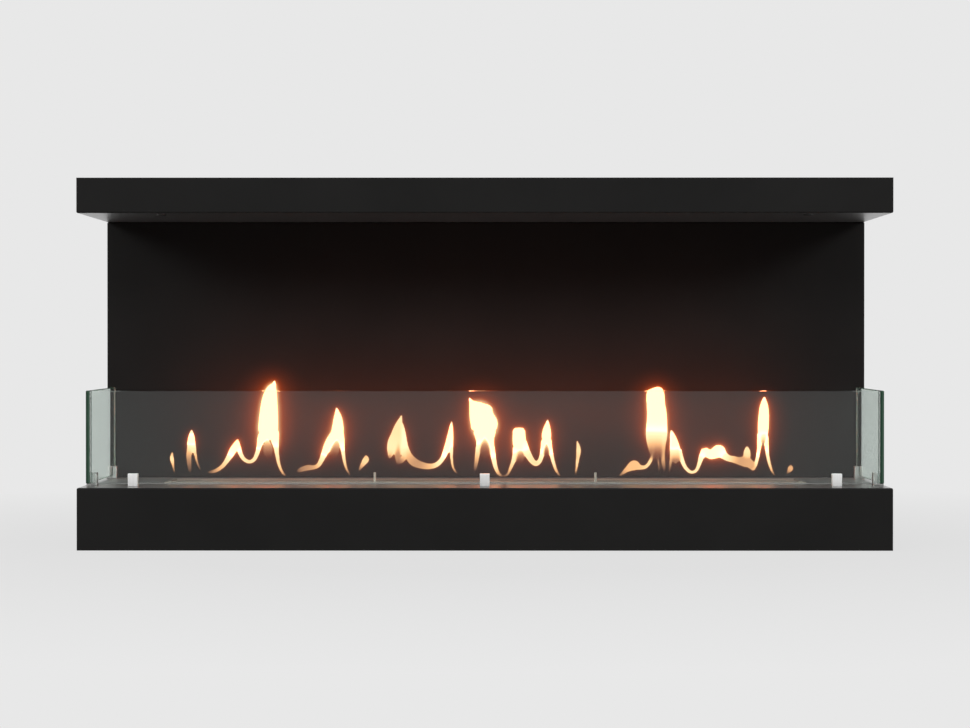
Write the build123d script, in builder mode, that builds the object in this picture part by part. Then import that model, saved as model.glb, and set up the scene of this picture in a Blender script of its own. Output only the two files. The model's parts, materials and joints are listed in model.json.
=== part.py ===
from build123d import *
import os

os.makedirs("parts", exist_ok=True)

# Built-in bioethanol fireplace, open at the front and at both ends.
# Millimetres, +Z up, the front faces -Y, the origin is under the middle of the casing.

# Casing
casing_width = 1200
casing_depth = 370
hearth_height = 92
opening_height = 404
canopy_height = 52
wall_box_depth = 28
wall_box_inset = 1
sheet = 2
thin_sheet = 1.5
bend_radius = 2.5
press_gap = 0.2
cut_overrun = 3

# Places on the casing
front_y = -casing_depth / 2
back_y = casing_depth / 2
wall_y = back_y - wall_box_depth
canopy_z = hearth_height + opening_height
top_z = canopy_z + canopy_height
wall_half = casing_width / 2 - wall_box_inset

# Hearth box
floor_flange = 18
floor_bend = 2
hearth_rib_flange = 25
hearth_rib_front_space = 62
hearth_rib_rear_space = 50

# Rear wall box
cover_recess = 3
cover_screw_rows = 4
upright_inset = 100
upright_flange = 22
board_thickness = 12
board_top_space = 24
bolt_inset = 30
bolt_pitch = 40

# Canopy box
lid_recess = 3
lid_flange = 12
lid_screw_inset = 45
lid_screw_rows = 3
canopy_rib_inset = 70
canopy_rib_flange = 25
canopy_rib_front_space = 12
canopy_rib_rear_space = 34
shield_sheet = 1
shield_gap = 8
shield_rib_gap = 25
shield_front_space = 40
shield_rear_space = 60
shield_screw_inset = 25
shield_screw_setback = 12
spacer_radius = 6
blanket_thickness = 20
blanket_side_inset = 15
blanket_front_inset = 26
blanket_rear_inset = 10
wall_hole_radius = 4.5
wall_hole_inset = 150
wall_hole_pitch = 24

# Burner
burner_front_space = 123
burner_rear_space = 82
burner_end_space = 115
burner_sheet = 2
burner_corner = 3
flange_overlap = 15
tank_wall = 1.5
tank_floor_space = 26
cutout_gap = 3
safety_sheet = 1
safety_floor_space = 12
safety_rim = 12
safety_bend = 1.5
slot_width = 34
slot_end_inset = 8
slot_lip = 10
lip_sheet = 1.5
lip_end_inset = 4
mesh_sheet = 1
mesh_height = 36
mesh_end_gap = 1
mesh_slit_length = 12
mesh_slit_width = 4
mesh_slit_pitch = 16
mesh_row_pitch = 8

# Shutter
shutter_sheet = 1.2
shutter_front_lap = 5
shutter_rear_lap = 3
shutter_end_lap = 16
shutter_open_gap = 2
shutter_corner = 2
slide_gap = 0.1
guide_sheet = 1
guide_gap = 0.3
guide_lip = 4
guide_foot = 5
pin_radius = 2
pin_height = 13.8
pin_round = 0.8
pin_tail_radius = 1.5
pin_inset = 7
pin_pitch = 334

# Glass
glass = 6
pane_height = 138
pane_raise = 4.5
pane_front_inset = 38.5
pane_side_inset = 8.5
pane_corner_gap = 1
pane_wall_gap = 1.5
pane_corner = 2
pane_polish = 1

# Glass clamps
clamp_width = 14.5
clamp_height = 19.5
outer_jaw = 2.5
inner_jaw = 5.5
clamp_round = 0.8
clamp_polish = 0.4
liner = 0.8
liner_floor = 1
liner_setback = 0.6
glass_slip = 0.2
front_clamp_inset = 62.8
side_clamp_front_inset = 39.5
side_clamp_rear_inset = 28.5
clamp_screw_radius = 1.5
clamp_screw_bite = 8
clamp_screw_tip_gap = 1
clamp_screw_head_radius = 3
clamp_screw_head = 2.4
set_screw_radius = 2
set_screw_height = 13
set_screw_recess = 0.5
set_screw_socket = 1
set_screw_socket_depth = 1.8

# Screws and bolts
hole_gap = 0.1
bolt_radius = 3
bolt_hex_radius = 5.8
hex_sides = 6
bolt_head = 4
nut_height = 5
bolt_tail = 1.5
pan_screw_radius = 2
pan_head_radius = 4
pan_head = 2.4
pan_screw_length = 9
dome_head_radius = 7
dome_head = 1.2
dome_round = 0.8

# Burner places
burner_width = casing_depth - wall_box_depth - burner_front_space - burner_rear_space
burner_length = casing_width - 2 * burner_end_space
burner_y = front_y + burner_front_space + burner_width / 2
tank_length = burner_length - 2 * flange_overlap
tank_width = burner_width - 2 * flange_overlap
cutout_length = tank_length + 2 * cutout_gap
cutout_width = tank_width + 2 * cutout_gap
burner_top_z = hearth_height + burner_sheet
slot_length = tank_length - 2 * slot_end_inset
slot_front_y = burner_y - slot_width / 2
slot_rear_y = burner_y + slot_width / 2

# The shutter rests open, in front of the slot, and closes towards the rear
shutter_width = shutter_front_lap + slot_width + shutter_rear_lap
shutter_length = slot_length + 2 * shutter_end_lap
shutter_rear_y = slot_front_y - shutter_open_gap
shutter_front_y = shutter_rear_y - shutter_width
shutter_travel = shutter_open_gap + slot_width + shutter_rear_lap
shutter_z = burner_top_z + slide_gap
shutter_top_z = shutter_z + shutter_sheet
pin_y = shutter_front_y + pin_inset

# Glass places
side_pane_x = casing_width / 2 - pane_side_inset
front_pane_y = front_y + pane_front_inset
front_pane_half = side_pane_x - glass - pane_corner_gap
side_pane_rear_y = wall_y - pane_wall_gap
pane_z = hearth_height + pane_raise
clamp_slot = glass + 2 * (liner + glass_slip)
clamp_depth = outer_jaw + clamp_slot + inner_jaw
clamp_floor = pane_raise - liner_floor
clamp_reach = outer_jaw + liner + glass_slip
clamp_screw_offset = clamp_depth - inner_jaw / 2


def clamp_place(x, y, inward, along):
    """Plane at a clamp's outer foot: x inward through the glass, y up, z along the glass."""
    return Plane(origin=(x, y, hearth_height), x_dir=inward, z_dir=along)


def front_place(x):
    return clamp_place(x, front_pane_y - clamp_reach, (0, 1, 0), (1, 0, 0))


def side_place(side, y):
    return clamp_place(side * (side_pane_x + clamp_reach), y, (-side, 0, 0), (0, side, 0))


front_clamp_x = front_pane_half - front_clamp_inset
side_clamp_front_y = front_pane_y + side_clamp_front_inset
side_clamp_rear_y = side_pane_rear_y - side_clamp_rear_inset
clamp_places = {
    "front_left": front_place(-front_clamp_x),
    "front_middle": front_place(0),
    "front_right": front_place(front_clamp_x),
    "left_front": side_place(-1, side_clamp_front_y),
    "left_rear": side_place(-1, side_clamp_rear_y),
    "right_front": side_place(1, side_clamp_front_y),
    "right_rear": side_place(1, side_clamp_rear_y),
}


def clamp_screw_plane(place, height):
    """Upward plane on the clamp screw's axis, at a height above the hearth's top."""
    return Plane(origin=place.from_local_coords((clamp_screw_offset, height, 0)), z_dir=(0, 0, 1))


# Frame bolt places, outside the uprights of the rear wall box
cover_y = back_y - cover_recess - thin_sheet
cavity_depth = cover_y - wall_y - sheet
bolt_y = wall_y + sheet + cavity_depth / 2
outer_bolt_x = wall_half - bolt_inset
inner_bolt_x = outer_bolt_x - bolt_pitch
bolt_places = [(x, bolt_y) for x in (-outer_bolt_x, -inner_bolt_x, inner_bolt_x, outer_bolt_x)]

# Hearth shell: a sheet bent down on all sides, cut out for the burner
with BuildPart() as hearth_shell:
    with BuildSketch():
        Rectangle(casing_width - 2 * sheet, casing_depth - 2 * sheet)
    extrude(amount=hearth_height - sheet)
    fillet(hearth_shell.faces().sort_by(Axis.Z)[-1].edges(), bend_radius - sheet)
    offset(amount=sheet, openings=hearth_shell.faces().sort_by(Axis.Z)[0])
    with BuildSketch(Plane.XY.offset(hearth_height)):
        with Locations((0, burner_y)):
            Rectangle(cutout_length, cutout_width)
        with Locations(*bolt_places):
            Circle(bolt_radius + hole_gap)
    extrude(amount=-sheet - cut_overrun, mode=Mode.SUBTRACT)
    for place in clamp_places.values():
        with BuildSketch(clamp_screw_plane(place, 0)):
            Circle(clamp_screw_radius + hole_gap)
        extrude(amount=-sheet - cut_overrun, mode=Mode.SUBTRACT)
hearth_shell.part.label = "hearth_shell"
export_step(hearth_shell.part, "parts/hearth_shell.step")

# Hearth floor: a shallow tray inside the shell, flush with its lower edge
with BuildPart() as hearth_floor:
    with BuildSketch():
        Rectangle(
            casing_width - 2 * sheet - 2 * press_gap,
            casing_depth - 2 * sheet - 2 * press_gap,
        )
    extrude(amount=floor_flange)
    fillet(hearth_floor.faces().sort_by(Axis.Z)[0].edges(), floor_bend)
    offset(amount=-thin_sheet, openings=hearth_floor.faces().sort_by(Axis.Z)[-1])
hearth_floor.part.label = "hearth_floor"
export_step(hearth_floor.part, "parts/hearth_floor.step")

# Hearth ribs: channels that carry the top sheet on the floor, left and right of the burner
hearth_rib_x = (cutout_length / 2 + safety_rim + casing_width / 2 - sheet) / 2
hearth_rib_height = hearth_height - sheet - thin_sheet
hearth_rib_start_y = front_y + hearth_rib_front_space
hearth_rib_length = casing_depth - hearth_rib_front_space - hearth_rib_rear_space
for side, node in ((-1, "hearth_rib_left"), (1, "hearth_rib_right")):
    with BuildPart() as hearth_rib:
        with BuildSketch(Plane.XZ.offset(-hearth_rib_start_y)):
            with Locations((side * (hearth_rib_x + hearth_rib_flange / 2), thin_sheet)):
                Rectangle(hearth_rib_flange, hearth_rib_height, align=(Align.CENTER, Align.MIN))
            with Locations((side * (hearth_rib_x + hearth_rib_flange / 2 + thin_sheet), 2 * thin_sheet)):
                Rectangle(
                    hearth_rib_flange,
                    hearth_rib_height - 2 * thin_sheet,
                    align=(Align.CENTER, Align.MIN),
                    mode=Mode.SUBTRACT,
                )
        extrude(amount=-hearth_rib_length)
    hearth_rib.part.label = node
    export_step(hearth_rib.part, f"parts/{node}.step")

# Safety tray: catches spilt fuel, its rim welded under the hearth's cut-out
safety_plane = Plane.XY.offset(hearth_height - sheet)
safety_depth = hearth_height - sheet - safety_floor_space
with BuildPart() as safety_tray:
    with BuildSketch(safety_plane):
        with Locations((0, burner_y)):
            Rectangle(cutout_length + 2 * safety_sheet, cutout_width + 2 * safety_sheet)
    extrude(amount=-safety_depth)
    fillet(safety_tray.faces().sort_by(Axis.Z)[0].edges(), safety_bend)
    with BuildSketch(safety_plane):
        with Locations((0, burner_y)):
            Rectangle(cutout_length + 2 * safety_rim, cutout_width + 2 * safety_rim)
    extrude(amount=-safety_sheet)
    with BuildSketch(safety_plane):
        with Locations((0, burner_y)):
            Rectangle(cutout_length, cutout_width)
    extrude(amount=safety_sheet - safety_depth, mode=Mode.SUBTRACT)
safety_tray.part.label = "safety_tray"
export_step(safety_tray.part, "parts/safety_tray.step")

# Back panel: a tray bent backwards, between the hearth and the canopy
with BuildPart() as back_panel:
    with BuildSketch(Plane.XZ.offset(-wall_y - sheet)):
        with Locations((0, hearth_height + opening_height / 2)):
            Rectangle(2 * wall_half - 2 * sheet, opening_height - 2 * sheet)
    extrude(amount=-(wall_box_depth - sheet))
    offset(amount=sheet, openings=back_panel.faces().sort_by(Axis.Y)[-1])
    for flange_z in (hearth_height, canopy_z - sheet):
        with BuildSketch(Plane.XY.offset(flange_z)):
            with Locations(*bolt_places):
                Circle(bolt_radius + hole_gap)
        extrude(amount=sheet, mode=Mode.SUBTRACT)
back_panel.part.label = "back_panel"
export_step(back_panel.part, "parts/back_panel.step")

# Uprights: channels that stiffen the wall box and take the rear cover's screws
upright_x = wall_half - upright_inset
upright_height = opening_height - 2 * sheet - 2 * press_gap
upright_z = hearth_height + sheet + press_gap
cover_screw_x = upright_x + upright_flange / 2
cover_screw_pitch = upright_height / cover_screw_rows
cover_screw_z = upright_z + upright_height / 2
for side, node in ((-1, "rear_upright_left"), (1, "rear_upright_right")):
    with BuildPart() as rear_upright:
        with BuildSketch(Plane.XY.offset(upright_z)):
            with Locations((side * (upright_x + upright_flange / 2), wall_y + sheet)):
                Rectangle(upright_flange, cavity_depth, align=(Align.CENTER, Align.MIN))
            with Locations(
                (side * (upright_x + upright_flange / 2 + thin_sheet), wall_y + sheet + thin_sheet)
            ):
                Rectangle(
                    upright_flange,
                    cavity_depth - 2 * thin_sheet,
                    align=(Align.CENTER, Align.MIN),
                    mode=Mode.SUBTRACT,
                )
        extrude(amount=upright_height)
        with BuildSketch(Plane.XZ.offset(-cover_y)):
            with Locations((side * cover_screw_x, cover_screw_z)):
                with GridLocations(0, cover_screw_pitch, 1, cover_screw_rows):
                    Circle(pan_screw_radius + hole_gap)
        extrude(amount=thin_sheet, mode=Mode.SUBTRACT)
    rear_upright.part.label = node
    export_step(rear_upright.part, f"parts/{node}.step")

# Rear cover: a plate let into the back of the wall box
with BuildPart() as rear_cover:
    with BuildSketch(Plane.XZ.offset(-cover_y)):
        with Locations((0, hearth_height + opening_height / 2)):
            Rectangle(
                2 * wall_half - 2 * sheet - 2 * press_gap,
                opening_height - 2 * sheet - 2 * press_gap,
            )
        with Locations((0, cover_screw_z)):
            with GridLocations(2 * cover_screw_x, cover_screw_pitch, 2, cover_screw_rows):
                Circle(pan_screw_radius + hole_gap, mode=Mode.SUBTRACT)
    extrude(amount=-thin_sheet)
rear_cover.part.label = "rear_cover"
export_step(rear_cover.part, "parts/rear_cover.step")

# Rear cover screws: pan heads in the cover's recess
with BuildPart() as rear_cover_screws:
    with BuildSketch(Plane.XZ.offset(-cover_y - thin_sheet)):
        with Locations((0, cover_screw_z)):
            with GridLocations(2 * cover_screw_x, cover_screw_pitch, 2, cover_screw_rows):
                Circle(pan_head_radius)
    extrude(amount=-pan_head)
    with BuildSketch(Plane.XZ.offset(-cover_y - thin_sheet)):
        with Locations((0, cover_screw_z)):
            with GridLocations(2 * cover_screw_x, cover_screw_pitch, 2, cover_screw_rows):
                Circle(pan_screw_radius)
    extrude(amount=pan_screw_length)
rear_cover_screws.part.label = "rear_cover_screws"
export_step(rear_cover_screws.part, "parts/rear_cover_screws.step")

# Rear insulation: a board against the cover, standing on the wall box's lower flange
with BuildPart() as rear_insulation:
    with BuildSketch(Plane.XY.offset(hearth_height + sheet)):
        with Locations((0, cover_y)):
            Rectangle(
                2 * upright_x - 2 * press_gap,
                board_thickness,
                align=(Align.CENTER, Align.MAX),
            )
    extrude(amount=opening_height - 2 * sheet - board_top_space)
rear_insulation.part.label = "rear_insulation"
export_step(rear_insulation.part, "parts/rear_insulation.step")

# Canopy shell: a sheet bent up on all sides, its lower edges rounded by the bend
canopy_rib_x = casing_width / 2 - canopy_rib_inset
shield_half = canopy_rib_x - shield_rib_gap
shield_screw_x = shield_half - shield_screw_inset
shield_screw_y = front_y + shield_front_space + shield_screw_setback
shield_screw_places = [(-shield_screw_x, shield_screw_y), (shield_screw_x, shield_screw_y)]
wall_hole_x = casing_width / 2 - wall_hole_inset
with BuildPart() as canopy_shell:
    with BuildSketch(Plane.XY.offset(canopy_z + sheet)):
        Rectangle(casing_width - 2 * sheet, casing_depth - 2 * sheet)
    extrude(amount=canopy_height - sheet)
    fillet(canopy_shell.faces().sort_by(Axis.Z)[0].edges(), bend_radius - sheet)
    offset(amount=sheet, openings=canopy_shell.faces().sort_by(Axis.Z)[-1])
    with BuildSketch(Plane.XY.offset(canopy_z)):
        with Locations(*bolt_places, *shield_screw_places):
            Circle(bolt_radius + hole_gap)
    extrude(amount=sheet + cut_overrun, mode=Mode.SUBTRACT)
    with BuildSketch(Plane.XZ.offset(-back_y)):
        with Locations((0, canopy_z + canopy_height / 2)):
            with GridLocations(2 * wall_hole_x, wall_hole_pitch, 2, 2):
                Circle(wall_hole_radius)
    extrude(amount=sheet + cut_overrun, mode=Mode.SUBTRACT)
canopy_shell.part.label = "canopy_shell"
export_step(canopy_shell.part, "parts/canopy_shell.step")

# Canopy ribs: channels on the canopy's bottom sheet that carry the lid
lid_z = top_z - lid_recess - thin_sheet
canopy_rib_height = lid_z - canopy_z - sheet
canopy_rib_start_y = front_y + sheet + canopy_rib_front_space
canopy_rib_length = casing_depth - 2 * sheet - canopy_rib_front_space - canopy_rib_rear_space
lid_screw_x = canopy_rib_x + canopy_rib_flange / 2
lid_screw_pitch = (canopy_rib_length - 2 * lid_screw_inset) / (lid_screw_rows - 1)
lid_screw_y = canopy_rib_start_y + canopy_rib_length / 2
for side, node in ((-1, "canopy_rib_left"), (1, "canopy_rib_right")):
    with BuildPart() as canopy_rib:
        with BuildSketch(Plane.XZ.offset(-canopy_rib_start_y)):
            with Locations((side * (canopy_rib_x + canopy_rib_flange / 2), canopy_z + sheet)):
                Rectangle(canopy_rib_flange, canopy_rib_height, align=(Align.CENTER, Align.MIN))
            with Locations(
                (
                    side * (canopy_rib_x + canopy_rib_flange / 2 + thin_sheet),
                    canopy_z + sheet + thin_sheet,
                )
            ):
                Rectangle(
                    canopy_rib_flange,
                    canopy_rib_height - 2 * thin_sheet,
                    align=(Align.CENTER, Align.MIN),
                    mode=Mode.SUBTRACT,
                )
        extrude(amount=-canopy_rib_length)
        with BuildSketch(Plane.XY.offset(lid_z)):
            with Locations((side * lid_screw_x, lid_screw_y)):
                with GridLocations(0, lid_screw_pitch, 1, lid_screw_rows):
                    Circle(pan_screw_radius + hole_gap)
        extrude(amount=-thin_sheet, mode=Mode.SUBTRACT)
    canopy_rib.part.label = node
    export_step(canopy_rib.part, f"parts/{node}.step")

# Canopy lid: let in below the rim, bent down at the front and the ends
lid_half = casing_width / 2 - sheet - press_gap
lid_front_y = front_y + sheet + press_gap
lid_depth = casing_depth - 2 * sheet - 2 * press_gap
with BuildPart() as canopy_lid:
    with BuildSketch(Plane.XY.offset(lid_z)):
        Rectangle(2 * lid_half, lid_depth)
        with Locations((0, lid_screw_y)):
            with GridLocations(2 * lid_screw_x, lid_screw_pitch, 2, lid_screw_rows):
                Circle(pan_screw_radius + hole_gap, mode=Mode.SUBTRACT)
    extrude(amount=thin_sheet)
    with BuildSketch(Plane.XY.offset(lid_z)):
        with Locations((0, lid_front_y)):
            Rectangle(2 * lid_half, thin_sheet, align=(Align.CENTER, Align.MIN))
        with Locations((-lid_half + thin_sheet / 2, 0), (lid_half - thin_sheet / 2, 0)):
            Rectangle(thin_sheet, lid_depth)
    extrude(amount=-lid_flange)
canopy_lid.part.label = "canopy_lid"
export_step(canopy_lid.part, "parts/canopy_lid.step")

# Lid screws: pan heads below the canopy's rim
with BuildPart() as lid_screws:
    with BuildSketch(Plane.XY.offset(lid_z + thin_sheet)):
        with Locations((0, lid_screw_y)):
            with GridLocations(2 * lid_screw_x, lid_screw_pitch, 2, lid_screw_rows):
                Circle(pan_head_radius)
    extrude(amount=pan_head)
    with BuildSketch(Plane.XY.offset(lid_z + thin_sheet)):
        with Locations((0, lid_screw_y)):
            with GridLocations(2 * lid_screw_x, lid_screw_pitch, 2, lid_screw_rows):
                Circle(pan_screw_radius)
    extrude(amount=-pan_screw_length)
lid_screws.part.label = "lid_screws"
export_step(lid_screws.part, "parts/lid_screws.step")

# Heat shield: a plate above the canopy's bottom sheet, on a bent rear foot and two spacers
shield_z = canopy_z + sheet + shield_gap
shield_front_y = front_y + shield_front_space
shield_depth = casing_depth - shield_front_space - shield_rear_space
shield_rear_y = shield_front_y + shield_depth
with BuildPart() as heat_shield:
    with BuildSketch(Plane.XY.offset(shield_z)):
        with Locations((0, shield_front_y)):
            Rectangle(2 * shield_half, shield_depth, align=(Align.CENTER, Align.MIN))
        with Locations(*shield_screw_places):
            Circle(bolt_radius + hole_gap, mode=Mode.SUBTRACT)
    extrude(amount=shield_sheet)
    with BuildSketch(Plane.XY.offset(shield_z)):
        with Locations((0, shield_rear_y)):
            Rectangle(2 * shield_half, shield_sheet, align=(Align.CENTER, Align.MAX))
    extrude(amount=-shield_gap)
heat_shield.part.label = "heat_shield"
export_step(heat_shield.part, "parts/heat_shield.step")

# Shield spacers: tubes round the two shield screws
with BuildPart() as shield_spacers:
    with BuildSketch(Plane.XY.offset(canopy_z + sheet)):
        with Locations(*shield_screw_places):
            Circle(spacer_radius)
            Circle(bolt_radius + hole_gap, mode=Mode.SUBTRACT)
    extrude(amount=shield_gap)
shield_spacers.part.label = "shield_spacers"
export_step(shield_spacers.part, "parts/shield_spacers.step")

# Shield screws: flat domed heads under the canopy, near its front edge
shield_screw_length = sheet + shield_gap + shield_sheet + nut_height + bolt_tail
with BuildPart() as shield_screws:
    with BuildSketch(Plane.XY.offset(canopy_z)):
        with Locations(*shield_screw_places):
            Circle(dome_head_radius)
    extrude(amount=-dome_head)
    fillet(shield_screws.edges().group_by(Axis.Z)[0], dome_round)
    with BuildSketch(Plane.XY.offset(canopy_z)):
        with Locations(*shield_screw_places):
            Circle(bolt_radius)
    extrude(amount=shield_screw_length)
shield_screws.part.label = "shield_screws"
export_step(shield_screws.part, "parts/shield_screws.step")

# Shield nuts
with BuildPart() as shield_nuts:
    with BuildSketch(Plane.XY.offset(shield_z + shield_sheet)):
        with Locations(*shield_screw_places):
            RegularPolygon(bolt_hex_radius, hex_sides)
            Circle(bolt_radius + hole_gap, mode=Mode.SUBTRACT)
    extrude(amount=nut_height)
shield_nuts.part.label = "shield_nuts"
export_step(shield_nuts.part, "parts/shield_nuts.step")

# Canopy insulation: a blanket on the heat shield
with BuildPart() as canopy_insulation:
    with BuildSketch(Plane.XY.offset(shield_z + shield_sheet)):
        with Locations((0, shield_front_y + blanket_front_inset)):
            Rectangle(
                2 * (shield_half - blanket_side_inset),
                shield_depth - blanket_front_inset - blanket_rear_inset,
                align=(Align.CENTER, Align.MIN),
            )
    extrude(amount=blanket_thickness)
canopy_insulation.part.label = "canopy_insulation"
export_step(canopy_insulation.part, "parts/canopy_insulation.step")

# Frame bolts: join the wall box to the hearth below it and to the canopy above it
frame_bolt_length = 2 * sheet + nut_height + bolt_tail
with BuildPart() as frame_bolts:
    for seam_z in (hearth_height, canopy_z):
        with BuildSketch(Plane.XY.offset(seam_z - sheet)):
            with Locations(*bolt_places):
                RegularPolygon(bolt_hex_radius, hex_sides)
        extrude(amount=-bolt_head)
        with BuildSketch(Plane.XY.offset(seam_z - sheet)):
            with Locations(*bolt_places):
                Circle(bolt_radius)
        extrude(amount=frame_bolt_length)
frame_bolts.part.label = "frame_bolts"
export_step(frame_bolts.part, "parts/frame_bolts.step")

# Frame nuts
with BuildPart() as frame_nuts:
    for seam_z in (hearth_height, canopy_z):
        with BuildSketch(Plane.XY.offset(seam_z + sheet)):
            with Locations(*bolt_places):
                RegularPolygon(bolt_hex_radius, hex_sides)
                Circle(bolt_radius + hole_gap, mode=Mode.SUBTRACT)
        extrude(amount=nut_height)
frame_nuts.part.label = "frame_nuts"
export_step(frame_nuts.part, "parts/frame_nuts.step")

# Front glass
with BuildPart() as front_glass:
    with BuildSketch(Plane.XZ.offset(-front_pane_y)):
        with Locations((0, pane_z + pane_height / 2)):
            RectangleRounded(2 * front_pane_half, pane_height, pane_corner)
    extrude(amount=-glass)
    chamfer(front_glass.faces().filter_by(Axis.Y).edges(), pane_polish)
front_glass.part.label = "front_glass"
export_step(front_glass.part, "parts/front_glass.step")

# Side glass: two equal panes that cover the ends of the front one
for side, node in ((-1, "left_glass"), (1, "right_glass")):
    with BuildPart() as side_glass:
        with BuildSketch(Plane.YZ.offset(side * side_pane_x)):
            with Locations(((front_pane_y + side_pane_rear_y) / 2, pane_z + pane_height / 2)):
                RectangleRounded(side_pane_rear_y - front_pane_y, pane_height, pane_corner)
        extrude(amount=-side * glass)
        chamfer(side_glass.faces().filter_by(Axis.X).edges(), pane_polish)
    side_glass.part.label = node
    export_step(side_glass.part, f"parts/{node}.step")

# Glass clamps: slotted blocks, screwed to the hearth from below, with a set screw inside
for name, place in clamp_places.items():
    with BuildPart() as clamp:
        with BuildSketch(place) as clamp_profile:
            Rectangle(clamp_depth, clamp_height, align=(Align.MIN, Align.MIN))
            fillet(clamp_profile.vertices(), clamp_round)
            with Locations((outer_jaw, clamp_floor)):
                Rectangle(clamp_slot, clamp_height, align=(Align.MIN, Align.MIN), mode=Mode.SUBTRACT)
        extrude(amount=clamp_width / 2, both=True)
        chamfer(clamp.faces().filter_by(place).edges(), clamp_polish)
        with BuildSketch(clamp_screw_plane(place, 0)):
            Circle(clamp_screw_radius + hole_gap)
        extrude(amount=clamp_screw_bite + clamp_screw_tip_gap, mode=Mode.SUBTRACT)
        set_screw_mouth = place.from_local_coords((clamp_depth, set_screw_height, 0))
        with BuildSketch(Plane(origin=set_screw_mouth, z_dir=-place.x_dir)):
            Circle(set_screw_radius + hole_gap)
        extrude(amount=inner_jaw, mode=Mode.SUBTRACT)
    clamp.part.label = f"clamp_{name}"
    export_step(clamp.part, f"parts/clamp_{name}.step")

# Clamp liners: soft U-shaped strips between the jaws and the glass
for name, place in clamp_places.items():
    with BuildPart() as clamp_liner:
        with BuildSketch(place):
            with Locations((outer_jaw, clamp_floor)):
                Rectangle(
                    clamp_slot,
                    clamp_height - clamp_floor - liner_setback,
                    align=(Align.MIN, Align.MIN),
                )
            with Locations((outer_jaw + liner, clamp_floor + liner_floor)):
                Rectangle(
                    clamp_slot - 2 * liner,
                    clamp_height,
                    align=(Align.MIN, Align.MIN),
                    mode=Mode.SUBTRACT,
                )
        extrude(amount=clamp_width / 2 - liner_setback, both=True)
    clamp_liner.part.label = f"liner_{name}"
    export_step(clamp_liner.part, f"parts/liner_{name}.step")

# Clamp screws: from under the hearth's top sheet into the clamps
with BuildPart() as clamp_screws:
    for place in clamp_places.values():
        with BuildSketch(clamp_screw_plane(place, -sheet)):
            Circle(clamp_screw_head_radius)
        extrude(amount=-clamp_screw_head)
        with BuildSketch(clamp_screw_plane(place, -sheet)):
            Circle(clamp_screw_radius)
        extrude(amount=sheet + clamp_screw_bite)
clamp_screws.part.label = "clamp_screws"
export_step(clamp_screws.part, "parts/clamp_screws.step")

# Set screws: press the liner against the glass, turned from inside with a hex key
with BuildPart() as clamp_set_screws:
    for place in clamp_places.values():
        socket_face = place.from_local_coords((clamp_depth - set_screw_recess, set_screw_height, 0))
        with BuildSketch(Plane(origin=socket_face, z_dir=-place.x_dir)):
            Circle(set_screw_radius)
        extrude(amount=inner_jaw - set_screw_recess)
        with BuildSketch(Plane(origin=socket_face, z_dir=-place.x_dir)):
            RegularPolygon(set_screw_socket, hex_sides)
        extrude(amount=set_screw_socket_depth, mode=Mode.SUBTRACT)
clamp_set_screws.part.label = "clamp_set_screws"
export_step(clamp_set_screws.part, "parts/clamp_set_screws.step")

# Burner tank: a welded trough that hangs in the hearth by the burner's top
tank_floor_z = tank_floor_space + tank_wall
tank_inner_length = tank_length - 2 * tank_wall
tank_inner_width = tank_width - 2 * tank_wall
with BuildPart() as burner_tank:
    with BuildSketch(Plane.XY.offset(tank_floor_z)):
        with Locations((0, burner_y)):
            Rectangle(tank_inner_length, tank_inner_width)
    extrude(amount=hearth_height - tank_floor_z)
    offset(amount=tank_wall, openings=burner_tank.faces().sort_by(Axis.Z)[-1])
burner_tank.part.label = "burner_tank"
export_step(burner_tank.part, "parts/burner_tank.step")

# Burner top: the plate that rests on the hearth, with lips bent down along its slot
with BuildPart() as burner_top:
    with BuildSketch(Plane.XY.offset(hearth_height)):
        with Locations((0, burner_y)):
            RectangleRounded(burner_length, burner_width, burner_corner)
            RectangleRounded(slot_length, slot_width, burner_corner, mode=Mode.SUBTRACT)
    extrude(amount=burner_sheet)
    with BuildSketch(Plane.XY.offset(hearth_height)):
        with Locations((0, slot_front_y - lip_sheet / 2), (0, slot_rear_y + lip_sheet / 2)):
            Rectangle(slot_length - 2 * lip_end_inset, lip_sheet)
    extrude(amount=-slot_lip)
burner_top.part.label = "burner_top"
export_step(burner_top.part, "parts/burner_top.step")

# Burner mesh: a slit plate bent down at both long sides, standing on the tank's floor
mesh_length = tank_inner_length - 2 * mesh_end_gap
mesh_width = tank_inner_width - 2 * press_gap
mesh_z = tank_floor_z + mesh_height
mesh_columns = int(slot_length / mesh_slit_pitch)
mesh_rows = int(slot_width / mesh_row_pitch) + 1
with BuildPart() as burner_mesh:
    with BuildSketch(Plane.XY.offset(mesh_z - mesh_sheet)):
        with Locations((0, burner_y)):
            Rectangle(mesh_length, mesh_width)
            with GridLocations(mesh_slit_pitch, mesh_row_pitch, mesh_columns, mesh_rows):
                Rectangle(mesh_slit_length, mesh_slit_width, mode=Mode.SUBTRACT)
    extrude(amount=mesh_sheet)
    with BuildSketch(Plane.XY.offset(tank_floor_z)):
        with Locations((0, burner_y)):
            with GridLocations(0, mesh_width - mesh_sheet, 1, 2):
                Rectangle(mesh_length, mesh_sheet)
    extrude(amount=mesh_height - mesh_sheet)
burner_mesh.part.label = "burner_mesh"
export_step(burner_mesh.part, "parts/burner_mesh.step")

# Burner wool: the ceramic wool under the mesh that soaks up the fuel
with BuildPart() as burner_wool:
    with BuildSketch(Plane.XY.offset(tank_floor_z)):
        with Locations((0, burner_y)):
            Rectangle(
                mesh_length - 2 * mesh_end_gap,
                mesh_width - 2 * mesh_sheet - 2 * press_gap,
            )
    extrude(amount=mesh_height - mesh_sheet)
burner_wool.part.label = "burner_wool"
export_step(burner_wool.part, "parts/burner_wool.step")

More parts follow.
